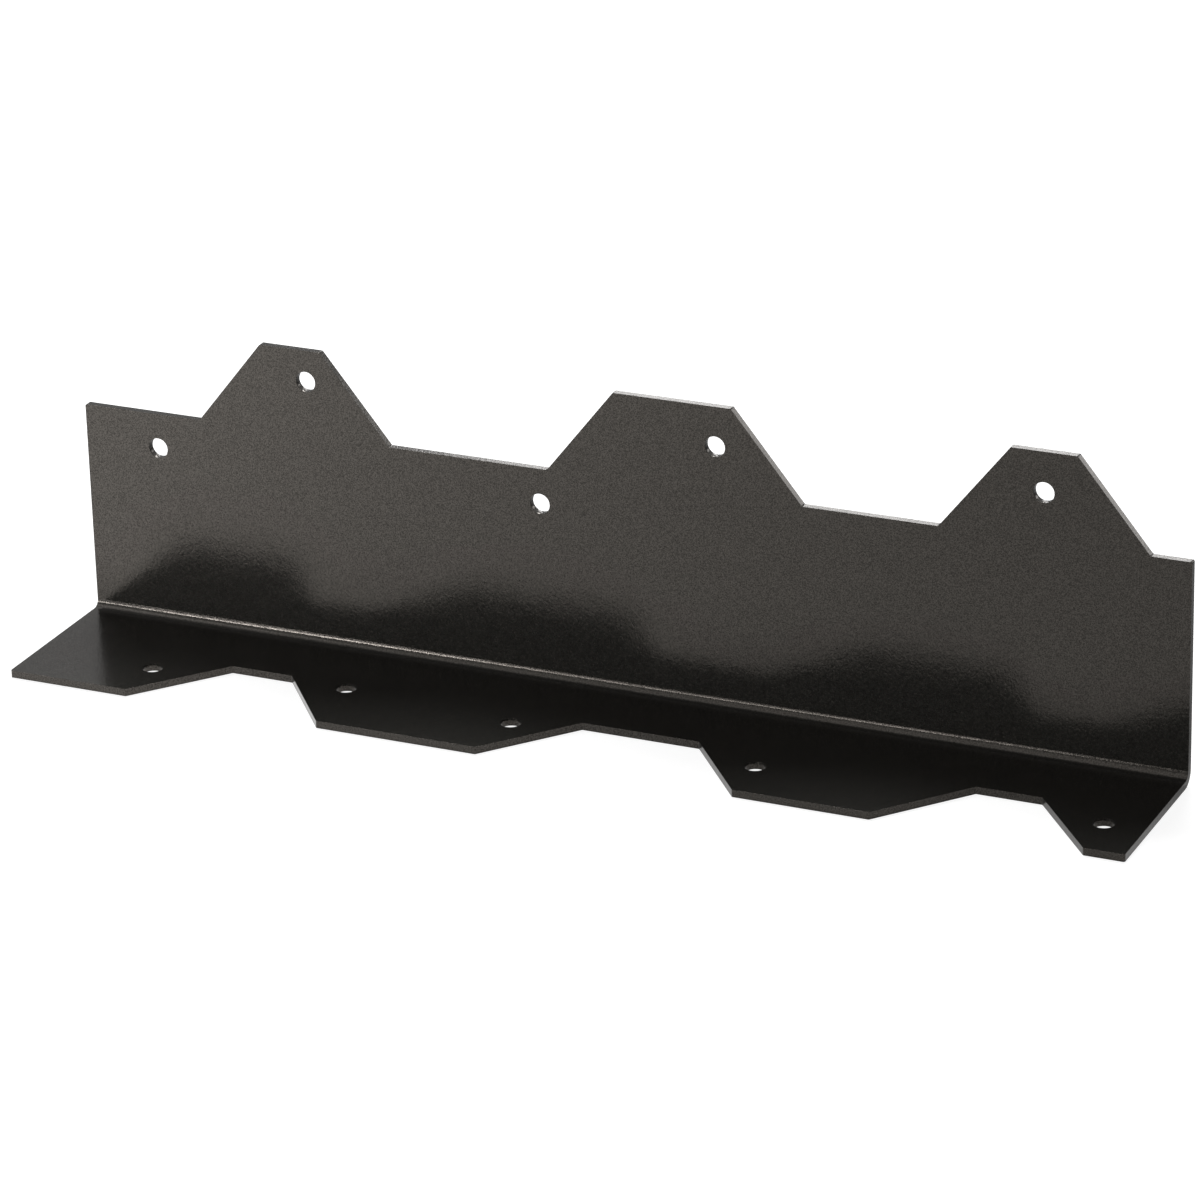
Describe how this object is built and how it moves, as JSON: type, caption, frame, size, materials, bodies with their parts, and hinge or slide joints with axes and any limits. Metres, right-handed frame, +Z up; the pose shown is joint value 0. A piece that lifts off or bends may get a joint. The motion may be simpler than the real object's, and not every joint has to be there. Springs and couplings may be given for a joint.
{
  "type": "reinforcing angle",
  "caption": "L-shaped sheet-steel angle with zigzag legs and round nail holes, folded from one plate, for fixing two timbers that meet at a right angle.",
  "frame": {"origin": "middle of the footprint, on the plane that the base leg lies on", "axes": "+X along the fold, +Y towards the back of the upright leg, +Z up the upright leg"},
  "size_m": [0.2286, 0.0364, 0.0619],
  "materials": {
    "coated_steel": "near-black powder coat, semi-gloss, with a fine pebbled texture"
  },
  "bodies": {
    "root": {"reinforcing_angle": "coated_steel"}
  },
  "joints": []
}
